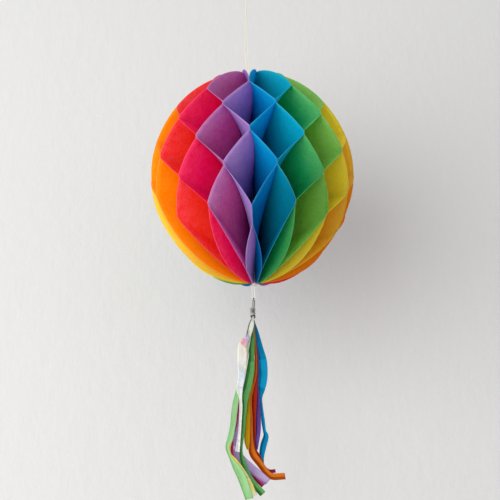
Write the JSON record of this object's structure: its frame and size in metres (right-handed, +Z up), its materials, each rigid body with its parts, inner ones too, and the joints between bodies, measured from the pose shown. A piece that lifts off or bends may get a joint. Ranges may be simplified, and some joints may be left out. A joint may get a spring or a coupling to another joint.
{
  "type": "honeycomb paper ball",
  "caption": "Round hanging decoration of rainbow tissue-paper leaves glued into a honeycomb, on a string loop, with a wire-bound tassel of tissue and film strips below.",
  "frame": {"origin": "top of the string loop, where it passes over the pin or hook that it hangs on", "axes": "+Z up along the ball's spine, -Y towards the closing seam at the front, +X to the viewer's right"},
  "size_m": [0.2, 0.2, 0.5298],
  "materials": {
    "blue_tissue": "matt tissue, dyed through",
    "green_tissue": "matt tissue, dyed through",
    "yellow_tissue": "matt tissue, dyed through",
    "orange_tissue": "matt tissue, dyed through",
    "red_tissue": "matt tissue, dyed through",
    "purple_tissue": "matt tissue, dyed through",
    "binding": "glued paper edges",
    "string": "twisted cotton",
    "thread": "twisted cotton",
    "wire": "drawn wire",
    "film": "clear iridescent film",
    "light_green_strip": "matt tissue",
    "green_strip": "matt tissue",
    "lavender_strip": "matt tissue",
    "yellow_strip": "matt tissue",
    "orange_strip": "matt tissue",
    "crimson_strip": "matt tissue",
    "red_strip": "matt tissue",
    "violet_strip": "matt tissue",
    "blue_strip": "matt tissue"
  },
  "bodies": {
    "root": {"leaf_01_blue": "blue_tissue", "leaf_02_blue": "blue_tissue", "leaf_03_green": "green_tissue", "leaf_04_green": "green_tissue", "leaf_05_yellow": "yellow_tissue", "leaf_06_yellow": "yellow_tissue", "leaf_07_orange": "orange_tissue", "leaf_08_orange": "orange_tissue", "leaf_09_red": "red_tissue", "leaf_10_red": "red_tissue", "leaf_11_purple": "purple_tissue", "leaf_12_purple": "purple_tissue", "leaf_13_blue": "blue_tissue", "leaf_14_blue": "blue_tissue", "leaf_15_green": "green_tissue", "leaf_16_green": "green_tissue", "leaf_17_yellow": "yellow_tissue", "leaf_18_yellow": "yellow_tissue", "leaf_19_orange": "orange_tissue", "leaf_20_orange": "orange_tissue", "leaf_21_red": "red_tissue", "leaf_22_red": "red_tissue", "leaf_23_purple": "purple_tissue", "leaf_24_purple": "purple_tissue", "spine": "binding", "string_loop": "string", "tassel_thread": "thread", "neck_wire": "wire", "strip_film_front": "film", "strip_light_green": "light_green_strip", "strip_film_back": "film", "strip_green": "green_strip", "strip_lavender": "lavender_strip", "strip_yellow": "yellow_strip", "strip_orange": "orange_strip", "strip_crimson": "crimson_strip", "strip_red": "red_strip", "strip_violet": "violet_strip", "strip_blue": "blue_strip"}
  },
  "joints": []
}
